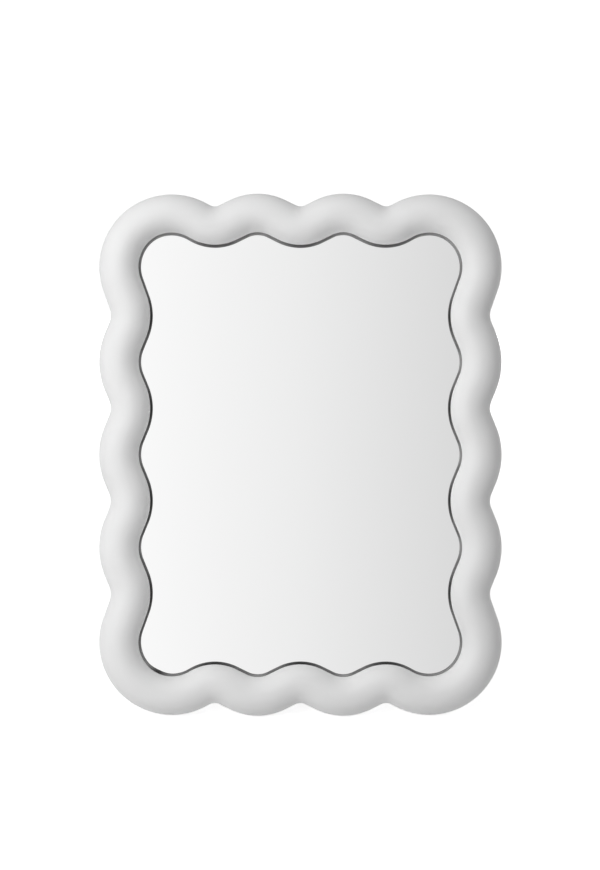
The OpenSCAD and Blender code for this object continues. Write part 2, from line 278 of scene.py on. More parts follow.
def grid_faces(rows: int, columns: int, close_rows: bool) -> np.ndarray:
    """Quads of a grid of points whose every row is a closed ring.

    Args:
        rows: number of rows.
        columns: number of points in a row.
        close_rows: whether the last row joins the first.

    Returns:
        An n by 4 array of point indices.
    """
    i = np.arange(rows if close_rows else rows - 1)[:, None]
    j = np.arange(columns)[None, :]
    a, b = (i + 1) % rows, (j + 1) % columns
    quads = np.stack([i * columns + j, i * columns + b, a * columns + b, a * columns + j], axis=-1)
    return quads.reshape(-1, 4)


def capped_faces(rows: int, columns: int) -> list:
    """Quads between closed rings, and a cap on the first and last ring.

    Args:
        rows: number of rings.
        columns: number of points in a ring.

    Returns:
        Lists of point indices.
    """
    faces = grid_faces(rows, columns, False).tolist()
    faces += [list(range(columns))[::-1], list(range((rows - 1) * columns, rows * columns))]
    return faces


def disc_faces(rings: int, spokes: int) -> list:
    """Quads between closed rings, and triangles from the first ring to a middle, the last point.

    Args:
        rings: number of rings.
        spokes: number of points in a ring.

    Returns:
        Lists of point indices.
    """
    middle = rings * spokes
    faces = grid_faces(rings, spokes, False).tolist()
    faces += [[middle, k, (k + 1) % spokes] for k in range(spokes)]
    return faces


def mesh_object(
    name: str,
    points: np.ndarray,
    faces: list,
    smooth_angle: float = 40.0,
    greyness: np.ndarray | None = None,
) -> Piece:
    """Makes an object of points and faces, its normals outwards and its sharp edges marked.

    Args:
        name: the piece's name.
        points: array whose last axis holds x, y, z in metres, in the row frame.
        faces: sequences of point indices.
        smooth_angle: edges that turn more than this many degrees stay sharp.
        greyness: one value per point for the attribute of that name, painted light and shade, if the
            finish reads it.

    Returns:
        The linked object.
    """
    mesh = bpy.data.meshes.new(name)
    mesh.from_pydata(points.reshape(-1, 3).tolist(), [], faces)
    if greyness is not None:
        attribute = mesh.attributes.new("greyness", "FLOAT", "POINT")
        attribute.data.foreach_set("value", greyness.astype(np.float32))
    work = bmesh.new()
    work.from_mesh(mesh)
    bmesh.ops.remove_doubles(work, verts=work.verts, dist=MERGE_NEW)
    bmesh.ops.recalc_face_normals(work, faces=work.faces)
    work.to_mesh(mesh)
    work.free()
    mesh.shade_smooth()
    mesh.set_sharp_from_angle(angle=math.radians(smooth_angle))
    return linked(name, mesh)


def linked(name: str, data: bpy.types.ID) -> Piece:
    """Links a new object of a mesh, lamp or camera to the scene.

    Args:
        name: the object's name.
        data: its mesh, lamp or camera.

    Returns:
        The linked object.
    """
    piece = bpy.data.objects.new(name, data)
    bpy.context.scene.collection.objects.link(piece)
    return piece


def swept(
    name: str,
    face: Face,
    places: np.ndarray,
    outward: np.ndarray,
    section: np.ndarray,
    smooth_angle: float,
    greyness: np.ndarray | None = None,
) -> Piece:
    """Closed sections carried along a closed line: place plus outward times distance, at its height.

    Args:
        name: the piece's name.
        face: plane of the mirror's face.
        places: n by 2 places along the line.
        outward: n by 2 unit vectors out of the ring.
        section: n by m by 2 array of distance outwards and height.
        smooth_angle: edges that turn more than this many degrees stay sharp.
        greyness: value of each place that the mesh keeps as its attribute of that name, painted light and
            shade.

    Returns:
        The linked object.
    """
    flat = places[:, None] + outward[:, None] * section[..., :1]
    grid = np.concatenate([flat, section[..., 1:]], axis=-1)
    faces = grid_faces(*grid.shape[:2], True)
    values = None if greyness is None else np.repeat(greyness, grid.shape[1])
    return mesh_object(name, face.world(grid), faces.tolist(), smooth_angle, values)


def softened(node: str, name: str, width: float, segments: int = 3) -> Piece:
    """Copy of a CAD node with its flats joined and its edges rounded.

    Args:
        node: the CAD node to copy.
        name: the new piece's name.
        width: width of the rounding, in millimetres.
        segments: steps across the rounding.

    Returns:
        The linked object, at the origin.
    """
    mesh = FRAME["nodes"][node].data.copy()
    mesh.name = name
    work = bmesh.new()
    work.from_mesh(mesh)
    bmesh.ops.remove_doubles(work, verts=work.verts, dist=MERGE_CAD)
    bmesh.ops.dissolve_limit(work, angle_limit=FLAT_ANGLE, verts=work.verts, edges=work.edges)
    work.to_mesh(mesh)
    work.free()
    mesh.shade_smooth()
    piece = linked(name, mesh)
    bevel = piece.modifiers.new("rounded_edges", "BEVEL")
    bevel.width, bevel.segments, bevel.limit_method = width * MM, segments, "ANGLE"
    bevel.angle_limit = ROUND_ANGLE
    bevel.use_clamp_overlap = True
    flats = piece.modifiers.new("flat_faces", "WEIGHTED_NORMAL")
    flats.mode, flats.keep_sharp = "FACE_AREA", True
    return piece


def joined(name: str, parts: list[tuple[np.ndarray, list]]) -> Piece:
    """One object of several closed shells.

    Args:
        name: the piece's name.
        parts: points in the row frame and faces of each shell.

    Returns:
        The linked object.
    """
    points, faces, start = [], [], 0
    for part_points, part_faces in parts:
        points.append(part_points)
        faces += [[index + start for index in corners] for corners in part_faces]
        start += len(part_points)
    return mesh_object(name, np.concatenate(points), faces)


def dressed(piece: Piece, material: Material) -> None:
    """Gives a piece one material."""
    piece.data.materials.clear()
    piece.data.materials.append(material)


def place(piece: Piece, body: str, material: Material, node: str) -> None:
    """Dresses a piece, lets it ride on its body and stand for its CAD node.

    Args:
        piece: the finished piece.
        body: the body it rides on.
        material: its finish.
        node: the CAD node that it replaces.
    """
    dressed(piece, material)
    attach(piece, body)
    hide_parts(node)
    LOG.info("%s: %d faces, rides on %s", piece.name, len(piece.data.polygons), body)


def joint_place(name: str) -> Triple:
    """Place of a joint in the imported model, in metres."""
    return tuple(next(joint for joint in FRAME["joints"] if joint["name"] == name)["pos_m"])


class Nodes:
    """A node tree, with short calls to add and join its nodes."""

    def __init__(self, tree: bpy.types.NodeTree) -> None:
        """Takes up the tree of a material or world, and adds texture coordinates to it."""
        self.tree = tree
        self.coordinates = self.add("ShaderNodeTexCoord")

    def add(self, kind: str, **settings: object) -> bpy.types.Node:
        """Adds a node and sets its properties.

        Args:
            kind: type of the node.
            settings: properties by name.

        Returns:
            The node.
        """
        node = self.tree.nodes.new(kind)
        for key, value in settings.items():
            setattr(node, key, value)
        return node

    def put(self, node: bpy.types.Node, **values: object) -> bpy.types.Node:
        """Sets a node's sockets, or links them to other sockets.

        Args:
            node: the node.
            values: numbers, colours or sockets by the socket's name, with underscores for spaces.

        Returns:
            The node.
        """
        for key, value in values.items():
            self.feed(node.inputs[key.replace("_", " ")], value)
        return node

    def feed(self, socket: Socket, value: object) -> None:
        """Sets a socket to a value, or links it to another socket."""
        if isinstance(value, Socket):
            self.tree.links.new(value, socket)
        else:
            socket.default_value = value

    def noise(self, scale: float, detail: float, stretch: Triple = WHITE) -> Socket:
        """Noise on Object coordinates.

        Args:
            scale: cells per metre.
            detail: how many finer layers it has.
            stretch: factor of the scale along each axis.

        Returns:
            The noise's value.
        """
        mapping = self.add("ShaderNodeMapping")
        self.put(mapping, Vector=self.coordinates.outputs["Object"], Scale=stretch)
        texture = self.add("ShaderNodeTexNoise")
        return self.put(texture, Vector=mapping.outputs[0], Scale=scale, Detail=detail).outputs[0]

    def ranged(
        self,
        value: Socket,
        low: float,
        high: float,
        near: float = 0.3,
        far: float = 0.7,
    ) -> Socket:
        """Maps a value from near..far to low..high.

        Args:
            value: the value to map.
            low: what near becomes.
            high: what far becomes.
            near: one end of the value's range.
            far: the other end.

        Returns:
            The mapped value.
        """
        node = self.add("ShaderNodeMapRange")
        self.put(node, Value=value, From_Min=near, From_Max=far, To_Min=low, To_Max=high)
        return node.outputs[0]

    def blend(self, value: Socket, dark: object, light: object) -> Socket:
        """Colour between two others.

        Args:
            value: zero for the dark colour and one for the light one.
            dark: red, green and blue, or a socket that carries a colour.
            light: the same.

        Returns:
            The mixed colour.
        """
        node = self.add("ShaderNodeMix", data_type="RGBA")
        self.feed(node.inputs[0], value)
        for index, colour in ((MIX_FIRST, dark), (MIX_SECOND, light)):
            self.feed(node.inputs[index], (*colour, 1.0) if isinstance(colour, tuple) else colour)
        return node.outputs[MIX_RESULT]

    def math(self, operation: str, one: Socket, other: Socket) -> Socket:
        """Joins two values by an operation.

        Args:
            operation: the Math node's operation.
            one: first value.
            other: second value.

        Returns:
            The result.
        """
        node = self.add("ShaderNodeMath", operation=operation)
        self.feed(node.inputs[0], one)
        self.feed(node.inputs[1], other)
        return node.outputs[0]

    def seen(self, *kinds: str) -> Socket:
        """One for rays of any of these kinds, else zero: the largest of the kinds' flags.

        Args:
            kinds: outputs of the Light Path node.

        Returns:
            The flag.
        """
        path = self.add("ShaderNodeLightPath")
        flag = path.outputs[kinds[0]]
        for kind in kinds[1:]:
            flag = self.math("MAXIMUM", flag, path.outputs[kind])
        return flag


class MaterialNodes(Nodes):
    """The nodes of a new material."""

    def __init__(self, name: str) -> None:
        """Starts a material with a Principled shader and its output.

        Args:
            name: the material's name.
        """
        self.material = bpy.data.materials.new(name)
        self.material.use_nodes = True
        super().__init__(self.material.node_tree)
        self.shader = self.tree.nodes["Principled BSDF"]

    def bump(self, height: Socket, depth: float, below: Socket | None = None) -> Socket:
        """Normal of a bumpy surface.

        Args:
            height: the bumps' height, from zero to one.
            depth: what a height of one stands for, in metres.
            below: normal of the larger bumps that these lie on, if there are any.

        Returns:
            The normal.
        """
        node = self.put(self.add("ShaderNodeBump"), Height=height, Distance=depth, Strength=1.0)
        if below is not None:
            self.put(node, Normal=below)
        return node.outputs[0]


def grey(value: float) -> Triple:
    """A neutral colour."""
    return (value, value, value)


@dataclass(frozen=True)
class ResinFinish:
    """Satin white cast resin: nearly even, with a fine matt skin and faint waves from the mould."""

    light: float = 0.83
    dark: float = 0.80
    rough: Pair = (0.42, 0.50)
    waves: float = 22.0
    skin: float = 900.0
    grain: float = 5200.0
    depths: Triple = (0.00015, 0.00002, 0.000012)
    ior: float = 1.47

    def material(self) -> Material:
        """Builds the material."""
        n = MaterialNodes("satin_white_resin")
        waves, skin, grain = (n.noise(scale, detail=2.0) for scale in (self.waves, self.skin, self.grain))
        wave_depth, skin_depth, grain_depth = self.depths
        coarse = n.bump(skin, skin_depth, n.bump(waves, wave_depth))
        n.put(
            n.shader,
            Base_Color=n.blend(n.ranged(waves, 0.0, 1.0), grey(self.dark), grey(self.light)),
            Roughness=n.ranged(skin, *self.rough),
            Normal=n.bump(grain, grain_depth, coarse),
            IOR=self.ior,
        )
        return n.material


@dataclass(frozen=True)
class SilverFinish:
    """Silver behind clear float glass: almost all light comes back, with a haze from wiping."""

    light: Triple = (0.953, 0.955, 0.955)
    dark: Triple = (0.951, 0.951, 0.951)
    rough: Pair = (0.004, 0.012)
    haze: float = 9.0
    strokes: Triple = (1.0, 0.25, 0.25)

    def material(self) -> Material:
        """Builds the material."""
        n = MaterialNodes("silvered_glass")
        haze = n.noise(self.haze, detail=4.0, stretch=self.strokes)
        n.put(
            n.shader,
            Base_Color=n.blend(n.ranged(haze, 0.0, 1.0), self.dark, self.light),
            Roughness=n.ranged(haze, *self.rough),
            Metallic=1.0,
        )
        return n.material


@dataclass(frozen=True)
class FlockFinish:
    """Dark flocked fibreboard: short upright fibres, brushed this way and that in soft patches."""

    name: str
    light: float = 0.085
    dark: float = 0.030
    nap: float = 26.0
    tufts: float = 420.0
    fibres: float = 2400.0
    shares: Triple = (0.45, 0.35, 0.2)
    depths: Pair = (0.00025, 0.0001)

    def material(self) -> Material:
        """Builds the material."""
        n = MaterialNodes(self.name)
        nap = n.noise(self.nap, detail=5.0, stretch=(1.0, 1.0, 0.45))
        tufts = n.noise(self.tufts, detail=4.0, stretch=(1.0, 1.0, 0.7))
        fibres = n.noise(self.fibres, detail=2.0)
        nap_tone, tuft_tone, fibre_tone = (
            n.ranged(texture, 0.0, share)
            for texture, share in zip((nap, tufts, fibres), self.shares)
        )
        tone = n.math("ADD", n.math("ADD", nap_tone, tuft_tone), fibre_tone)
        n.put(
            n.shader,
            Base_Color=n.blend(tone, grey(self.dark), grey(self.light)),
            Roughness=0.95,
            Sheen_Weight=0.3,
            Sheen_Roughness=0.45,
            Specular_IOR_Level=0.15,
            Normal=n.bump(fibres, self.depths[1], n.bump(tufts, self.depths[0])),
        )
        return n.material


@dataclass(frozen=True)
class ZincFinish:
    """Zinc plating on steel: a grain of small crystals, duller patches and fine rolling lines."""

    name: str
    light: Triple = (0.52, 0.53, 0.55)
    dark: Triple = (0.30, 0.31, 0.33)
    rough: Pair = (0.22, 0.42)
    patches: float = 140.0
    crystals: float = 700.0
    lines: float = 900.0
    line_depth: float = 0.000015

    def material(self) -> Material:
        """Builds the material."""
        n = MaterialNodes(self.name)
        patches = n.noise(self.patches, detail=4.0)
        lines = n.noise(self.lines, detail=2.0, stretch=(4.0, 0.3, 0.3))
        cells = n.add("ShaderNodeTexVoronoi")
        n.put(cells, Vector=n.coordinates.outputs["Object"], Scale=self.crystals)
        crystals = n.ranged(cells.outputs["Color"], 0.0, 0.3, 0.0, 1.0)
        grain = n.math("ADD", n.ranged(patches, 0.0, 0.7), crystals)
        n.put(
            n.shader,
            Base_Color=n.blend(grain, self.dark, self.light),
            Roughness=n.ranged(grain, self.rough[1], self.rough[0], 0.0, 1.0),
            Metallic=1.0,
            Normal=n.bump(lines, self.line_depth),
        )
        return n.material


@dataclass(frozen=True)
class RubberFinish:
    """Moulded rubber or foam: matt, faintly speckled, with a fine skin."""

    name: str
    light: float
    dark: float
    rough: float = 0.62
    rough_spread: Pair = (0.06, 0.08)  # below and above that
    speckle: float = 700.0
    skin: float = 3200.0
    skin_depth: float = 0.00003

    def material(self) -> Material:
        """Builds the material."""
        n = MaterialNodes(self.name)
        speckle = n.noise(self.speckle, detail=4.0)
        below, above = self.rough_spread
        n.put(
            n.shader,
            Base_Color=n.blend(n.ranged(speckle, 0.0, 1.0), grey(self.dark), grey(self.light)),
            Roughness=n.ranged(speckle, self.rough - below, self.rough + above),
            Normal=n.bump(n.noise(self.skin, detail=2.0), self.skin_depth),
        )
        return n.material


@dataclass(frozen=True)
class SealFinish:
    """Black rubber for the seal line, which is painted shade: a dark line where the frame's inner edge
    meets the glass, grey where the painted light attribute is one.
    """

    # The line's painted shade, and its greyest where less shade is painted.
    dark: float = 0.03
    light: float = 0.30
    rough: Pair = (0.55, 0.7)
    skin: float = 2400.0
    skin_depth: float = 0.00003

    def material(self) -> Material:
        """Builds the material."""
        n = MaterialNodes("black_seal_rubber")
        greyness = n.add("ShaderNodeAttribute", attribute_name="greyness").outputs["Fac"]
        skin = n.noise(self.skin, detail=3.0)
        tone = n.ranged(greyness, 0.0, 1.0, 0.0, 1.0)
        n.put(
            n.shader,
            Base_Color=n.blend(tone, grey(self.dark), grey(self.light)),
            Roughness=n.ranged(skin, *self.rough),
            Specular_IOR_Level=0.2,
            Normal=n.bump(skin, self.skin_depth),
        )
        return n.material


@dataclass
class TubeFrame:
    """The one-piece wavy frame: a round tube, flat behind, with the glass's rebate cut into it."""

    face: Face
    line: WaveLine = field(default_factory=WaveLine)
    rise: float = 12.0  # height of the tube's middle over its flat back
    inner: float = 14.0  # reach of the tube up to its lip over the glass
    inner_less: float = 0.72  # how much less that is along the top and bottom
    corner_less: float = 0.8  # how much less again in the upper corners
    lower_share: float = 0.5  # share of that in the lower corners
    glass_lap: float = 4.5  # how far the glass reaches under the crests
    glass_play: float = 0.8  # gap between the glass and the rebate's wall
    glass_r: float = 8.0
    rebate: float = 7.0  # height of the shoulder in front of the glass
    skin: float = 0.02  # how far the tube stays inside the CAD solid
    back_edge: Pair = (0.8, 0.25)  # inwards of the land: where the flat back ends, and a second place
    back_lift: float = 0.06  # height of that second place
    wall_ease: float = 0.3  # chamfer at the rebate's back
    lip_ease: float = 0.25  # step from the crown's end to the shoulder
    crown_gaps: Pair = (0.03, 0.02)  # angles left free at the crown's two ends
    turn_step: float = math.radians(2.2)
    round_steps: int = 44
    halvings: int = 30

    @property
    def radius(self) -> float:
        """Radius of the tube, a hair inside the CAD solid."""
        return self.line.tube / 2 - self.skin

    @property
    def glass_size(self) -> Pair:
        """Width and height of the glass: the crests' inner edge plus the lap, on each side."""
        return tuple(2 * (level - self.line.tube / 2 + self.glass_lap) for level in self.line.level)

    def wall(self, places: np.ndarray, outward: np.ndarray) -> np.ndarray:
        """Where the rebate's wall crosses each section, found by halving the interval.

        Args:
            places: n by 2 middle points of the tube.
            outward: n by 2 unit vectors out of the ring.

        Returns:
            Distance from the tube's middle, outwards, of the rebate's wall.
        """
        width, height = (side + 2 * self.glass_play for side in self.glass_size)
        corner = self.glass_r + self.glass_play
        low, high = np.full(len(places), -self.radius), np.full(len(places), self.radius)
        for _ in range(self.halvings):
            middle = (low + high) / 2
            spots = places + outward * middle[:, None]
            inside = rounded_rectangle_distance(spots, width, height, corner) < 0
            low, high = np.where(inside, middle, low), np.where(inside, high, middle)
        return (low + high) / 2

    def flat_share(self, places: np.ndarray) -> np.ndarray:
        """One along the top and bottom, zero along the sides: y^8 / (x^8 + y^8), in shares of level."""
        x, y = (np.abs(places / np.array(self.line.level)) ** 8).T
        return y / (x + y)

    def corner_share(self, places: np.ndarray) -> np.ndarray:
        """How far a place is up in a corner lobe.

        It is 2 x^4 y^4 / (x^8 + y^8), with x and y in shares of level, times the flat share, and
        below the middle times the lower share.

        Args:
            places: n by 2 places along the line.

        Returns:
            n shares from zero to one.
        """
        x, y = (np.abs(places / np.array(self.line.level)) ** 4).T
        half = np.where(places[:, 1] > 0, 1.0, self.lower_share)
        return 2 * x * y / (x * x + y * y) * self.flat_share(places) * half

    def lip(self, places: np.ndarray) -> np.ndarray:
        """Reach of the inner half at each place, less along the top and bottom and in the corners."""
        flat, corner = self.flat_share(places), self.corner_share(places)
        return self.inner - self.inner_less * flat - self.corner_less * corner

    def section(self, wall: np.ndarray, lip: np.ndarray) -> np.ndarray:
        """Closed section at every station: flat back, rounded crown, lip and rebate wall.

        A point of the crown at angle a is (reach cos a, rise + radius sin a), where reach is the
        radius on the outer half and the lip's reach on the glass's half. The crown starts at the
        land, the flat back's outer edge at (radius^2 - rise^2)^0.5, and ends on the shoulder.

        Args:
            wall: distance of the rebate's wall at each station.
            lip: reach of the inner half at each station.

        Returns:
            n by m by 2 array of distance outwards and height.
        """
        r, rise = self.radius, self.rise
        start_gap, end_gap = self.crown_gaps
        land = math.sqrt(r * r - rise * rise)
        last = math.pi + math.asin((rise - self.rebate) / r) - end_gap
        angle = np.linspace(start_gap - math.acos(land / r), last, self.round_steps)
        across = np.where(np.cos(angle) < 0, lip[:, None], r) * np.cos(angle)
        shoulder = across[:, -1] + self.lip_ease
        corners = np.stack([shoulder, wall, wall, wall + self.wall_ease], axis=1)
        edge = np.broadcast_to([land - inwards for inwards in self.back_edge], (len(wall), 2))
        crown = rise + r * np.sin(angle)
        ends = [self.rebate, self.rebate, self.wall_ease, 0.0]
        height = np.concatenate([[0.0, self.back_lift], crown, ends])
        distance = np.concatenate([edge, across, corners], axis=1)
        return np.stack([distance, np.broadcast_to(height, distance.shape)], axis=-1)

    def build(self) -> Piece:
        """Builds the tube with the section of every station.

        Returns:
            The linked tube.
        """
        places, outward, _ = self.line.stations(self.turn_step)
        section = self.section(self.wall(places, outward), self.lip(places))
        return swept("wavy_frame", self.face, places, outward, section, smooth_angle=38.0)

    def dress(self) -> None:
        """Makes the frame and gives it its finish."""
        place(self.build(), "mirror", ResinFinish().material(), "frame")


@dataclass
class GlassSeal:
    """Thin dark rubber strip on the glass along the tube: painted shade, a dark line where the frame's
    inner edge meets the glass.
    """

    face: Face
    frame: TubeFrame
    width: float = 1.49  # how far it stands out from the lip
    wider: float = 0.28  # added along the top
    thinner: float = 0.2  # taken off in the corners
    fuller: float = 0.07  # added where the line bulges towards the glass
    height: float = 2.55
    lift: float = 0.01  # gap over the shoulder's height
    tuck: float = 0.7  # how far the nose leans back from foot to top
    foot_in: float = 1.15  # how far its foot reaches under the lip
    top_in: float = 0.75  # how far its top does
    steps: int = 9
    # Painted light of the line: its base, which painted shade takes away where the line bulges towards
    # the glass.
    grey_base: float = 0.45
    # Painted light added to the line along the top.
    grey_top: float = 0.3
    joint_place: Pair = (-111.0, -173.0)  # where a dark crescent of painted shade sits on the line
    joint_reach: float = 7.0  # how far along the line the painted-shade crescent reaches
    # How much wider the line is at the painted-shade crescent.
    joint_width: float = 0.7

    def build(self) -> Piece:
        """Sweeps the seal's section: flat on the glass, a quarter ellipse for its nose, a flat top.

        A point of the nose at angle a is (tuck (1 - cos a) - edge, foot + height sin a). The edge is
        the lip plus the width, a little more along the top, where the line bulges towards the glass
        and at the dark crescent of painted shade near the lower left corner, and a little less in the
        corners. The crescent is exp(-d^2 / (2 reach^2)) of the distance d from its place. The painted
        light is the base times one less the bulge, so the painted shade is deepest where the line
        bulges towards the glass; it is more along the top, as painted light, and none at the crescent.

        Returns:
            The linked seal.
        """
        places, outward, bulge = self.frame.line.stations(self.frame.turn_step)
        top = self.frame.flat_share(places) * (places[:, 1] > 0)
        # Painted shade: a dark, wider stretch of the line near the lower left corner.
        gap = np.linalg.norm(places - np.array(self.joint_place), axis=1) / self.joint_reach
        joint = np.exp(-gap * gap / 2)
        lip, foot = self.frame.lip(places), self.frame.rebate + self.lift
        edge = lip + self.width + self.wider * top + self.fuller * bulge + self.joint_width * joint
        edge = edge - self.thinner * self.frame.corner_share(places)
        a = np.linspace(0.0, math.pi / 2, self.steps)
        nose = self.tuck * (1.0 - np.cos(a)) - edge[:, None]
        under, over = (self.foot_in - lip)[:, None], (self.top_in - lip)[:, None]
        distance = np.concatenate([under, nose, over], axis=1)
        height = np.concatenate([[foot], foot + self.height * np.sin(a), [foot + self.height]])
        section = np.stack([distance, np.broadcast_to(height, distance.shape)], axis=-1)
        # Painted light and shade: darkest where the line bulges towards the glass and at the crescent,
        # lighter along the top.
        greyness = (self.grey_base - self.grey_base * bulge + self.grey_top * top) * (1 - joint)
        return swept(
            "rubber_seal", self.face, places, outward, section, smooth_angle=50.0, greyness=greyness
        )

    def dress(self) -> None:
        """Makes the painted-shade seal line and gives it its finish."""
        place(self.build(), "mirror", SealFinish().material(), "glass_seal")


@dataclass
class MirrorGlass:
    """The silvered glass behind the frame.

    The silver is on the back of the glass, so what mirrors lies below the glass's front.
    """

    face: Face
    frame: TubeFrame
    silver: float = 5.0  # height of the mirroring face
    behind: float = 4.0  # height of the back
    ease: float = 0.3
    ease_steps: int = 5
    corner_steps: int = 13

    def build(self) -> Piece:
        """Builds a flat plate with rounded corners and eased edges.

        Rings run from the back, round a quarter circle, up the side and round another quarter circle
        to the front. A last ring, three eases inside each face, keeps the face's own shading flat.

        Returns:
            The linked plate.
        """
        turn = np.linspace(0.0, np.pi / 2, self.ease_steps)
        curve, rise = self.ease - self.ease * np.sin(turn), self.ease - self.ease * np.cos(turn)
        inset = np.concatenate([[self.ease * 3], curve, curve[::-1], [self.ease * 3]])
        lower, upper = self.behind + rise, self.silver - rise[::-1]
        level = np.concatenate([[self.behind], lower, upper, [self.silver]])
        rings = rounded_rings(*self.frame.glass_size, self.frame.glass_r, inset, self.corner_steps)
        height = np.broadcast_to(level[:, None, None], (*rings.shape[:2], 1))
        grid = np.concatenate([rings, height], axis=-1)
        return mesh_object("silvered_glass", self.face.world(grid), capped_faces(*grid.shape[:2]))

    def dress(self) -> None:
        """Makes the glass and gives it its finish."""
        place(self.build(), "mirror", SilverFinish().material(), "mirror_glass")


@dataclass(frozen=True)
class HeadShape:
    """Head of a screw or rivet. Its height at r is height (1 - (r / radius)^power)^0.5."""

    radius: float
    height: float
    power: float
    recess: float = 0.0  # depth of the cross recess, as a share of the height
    forward: bool = False  # whether it rises towards the glass
    slot_half: float = 0.42  # half the slots' width
    slot_slope: float = 0.22  # width of their walls
    slot_reach: float = 0.58  # half their length, as a share of the radius
    slot_end: float = 0.5  # length of their sloping ends
    rings: int = 22
    spokes: int = 72

    def slot(self, u: np.ndarray, v: np.ndarray) -> np.ndarray:
        """Depth share of one slot along u: one in its middle, falling over its walls and ends.

        Args:
            u: distance along the slot.
            v: distance across it.

        Returns:
            Shares from zero to one.
        """
        across = np.clip((self.slot_half - np.abs(v)) / self.slot_slope, 0.0, 1.0)
        along = np.clip((self.radius * self.slot_reach - np.abs(u)) / self.slot_end, 0.0, 1.0)
        return across * along

    def build(self, face: Face, x: float, y: float, z: float) -> tuple[np.ndarray, list]:
        """Closed head that stands on a plane.

        The cross recess is the deeper of two crossing slots.

        Args:
            face: plane that the head stands on.
            x: place of the head's middle across that plane.
            y: place of the head's middle up that plane.
            z: height of the head's seat.

        Returns:
            Points in the row frame and faces.
        """
        rings, spokes = self.rings, self.spokes
        r = self.radius * np.linspace(0.0, 1.0, rings + 1)[1:, None]
        a = np.linspace(0.0, 2 * np.pi, spokes, endpoint=False)[None, :]
        px, py = r * np.cos(a), r * np.sin(a)
        fall = np.maximum(0.0, 1.0 - (r / self.radius) ** self.power)
        dome = self.height * np.sqrt(fall) * np.ones_like(a)
        depth = self.recess * self.height
        cross = np.maximum(self.slot(px, py), self.slot(py, px)) * depth
        rows = np.stack([px, py, dome - cross], axis=-1)
        middle = np.array([[0.0, 0.0, self.height - depth]])
        grid = np.concatenate([rows.reshape(-1, 3), middle])
        faces = disc_faces(rings, spokes)
        faces.append(list(range((rings - 1) * spokes, rings * spokes)))
        if self.forward:
            faces = [corners[::-1] for corners in faces]
        grid[:, 2] = z + (grid[:, 2] if self.forward else -grid[:, 2])
        grid[:, :2] += np.array([x, y])
        return face.world(grid), faces


